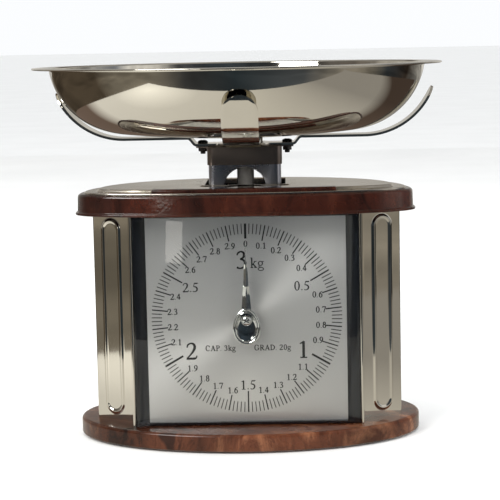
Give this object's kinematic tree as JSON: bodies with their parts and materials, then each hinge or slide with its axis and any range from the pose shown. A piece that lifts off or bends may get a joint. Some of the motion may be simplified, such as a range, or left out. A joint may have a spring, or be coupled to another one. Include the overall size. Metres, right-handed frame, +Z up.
{
  "type": "kitchen scale",
  "caption": "Mechanical kitchen scale: drum case with a round dial behind a bowed window, walnut-effect base and cap, and a lift-off steel bowl on a cross of arms.",
  "frame": {"origin": "on the table under the middle of the oval base", "axes": "+Z up, +X to the right of the dial, -Y the way the dial faces"},
  "size_m": [0.24, 0.24, 0.2183],
  "materials": {
    "burl_plastic": "glossy moulding with a dark walnut burl print",
    "polished_steel": "mirror-polished stainless sheet",
    "smoked_steel": "darker polished steel",
    "black_plastic": "glossy black moulding",
    "clear_window": "clear moulded acrylic",
    "dial_silver": "spun silver with black print",
    "zinc_casting": "matte grey die casting",
    "plated_sheet": "zinc-plated sheet steel",
    "fastener_steel": "plated screws, studs and nuts",
    "spring_steel": "oiled spring wire",
    "brass_parts": "cut brass",
    "rubber_parts": "black rubber",
    "pointer_chrome": "bright chrome"
  },
  "bodies": {
    "case": {"base_plinth": "burl_plastic", "rubber_feet": "rubber_parts", "base_screws": "fastener_steel", "overload_stop": "rubber_parts", "steel_wrap": "polished_steel", "cap_moulding": "burl_plastic", "top_plate": "polished_steel", "dial_bezel": "black_plastic", "dial_plate": "dial_silver", "front_lens": "clear_window", "chassis_frame": "plated_sheet", "movement_cage": "brass_parts", "cage_screws": "fastener_steel", "shaft_bushes": "brass_parts", "link_pivots": "fastener_steel", "zero_bracket": "plated_sheet", "bracket_screws": "fastener_steel"},
    "load_carrier": {"carrier_frame": "zinc_casting", "carrier_pins": "fastener_steel", "toothed_rack": "brass_parts", "rack_screws": "fastener_steel", "column_shroud": "polished_steel", "column_saddle": "smoked_steel", "spider": "polished_steel", "spider_screws": "fastener_steel", "spider_nuts": "fastener_steel", "post_screw": "fastener_steel"},
    "bowl": {"weighing_bowl": "polished_steel"},
    "pointer_unit": {"pointer_shaft": "fastener_steel", "pinion": "brass_parts", "shaft_clip": "fastener_steel", "pointer": "pointer_chrome", "pointer_screw": "pointer_chrome"},
    "upper_link": {"upper_link": "plated_sheet"},
    "lower_link": {"lower_link": "plated_sheet"},
    "zero_wheel": {"zero_wheel": "black_plastic"},
    "zero_rod": {"zero_rod": "fastener_steel", "main_spring": "spring_steel"}
  },
  "joints": [
    {"name": "load_slide", "type": "slide", "parent": "case", "child": "load_carrier", "axis": [0, 0, -1], "range_m": [0, 0.0157], "stiffness_N_per_m": 1873, "springref_m": -0.0041, "deforming": ["main_spring"]},
    {"name": "bowl_lift", "type": "slide", "parent": "load_carrier", "child": "bowl", "axis": [0, 0, 1], "range_m": [0, 0.06]},
    {"name": "pointer_turn", "type": "hinge", "parent": "case", "child": "pointer_unit", "pos_m": [0, -0.01, 0.073], "axis": [0, 1, 0], "range_deg": [0, 360]},
    {"name": "upper_link_pivot", "type": "hinge", "parent": "case", "child": "upper_link", "pos_m": [0, 0.038, 0.104], "axis": [1, 0, 0], "range_deg": [0, 20.3]},
    {"name": "lower_link_pivot", "type": "hinge", "parent": "case", "child": "lower_link", "pos_m": [0, 0.038, 0.036], "axis": [1, 0, 0], "range_deg": [0, 20.3]},
    {"name": "zero_wheel_turn", "type": "hinge", "parent": "case", "child": "zero_wheel", "pos_m": [0, 0.037, 0.115], "axis": [0, 0, 1], "range_deg": [-180, 180]},
    {"name": "zero_rod_lift", "type": "slide", "parent": "case", "child": "zero_rod", "axis": [0, 0, 1], "range_m": [-0.00051, 0.00051]}
  ],
  "couplings": [
    {"joint": "pointer_turn", "follows": "load_slide", "rad_per_m": 400},
    {"joint": "upper_link_pivot", "follows": "load_slide", "rad_per_m": 22.49},
    {"joint": "lower_link_pivot", "follows": "load_slide", "rad_per_m": 22.49},
    {"joint": "zero_rod_lift", "follows": "zero_wheel_turn", "m_per_rad": 0.00015915}
  ]
}
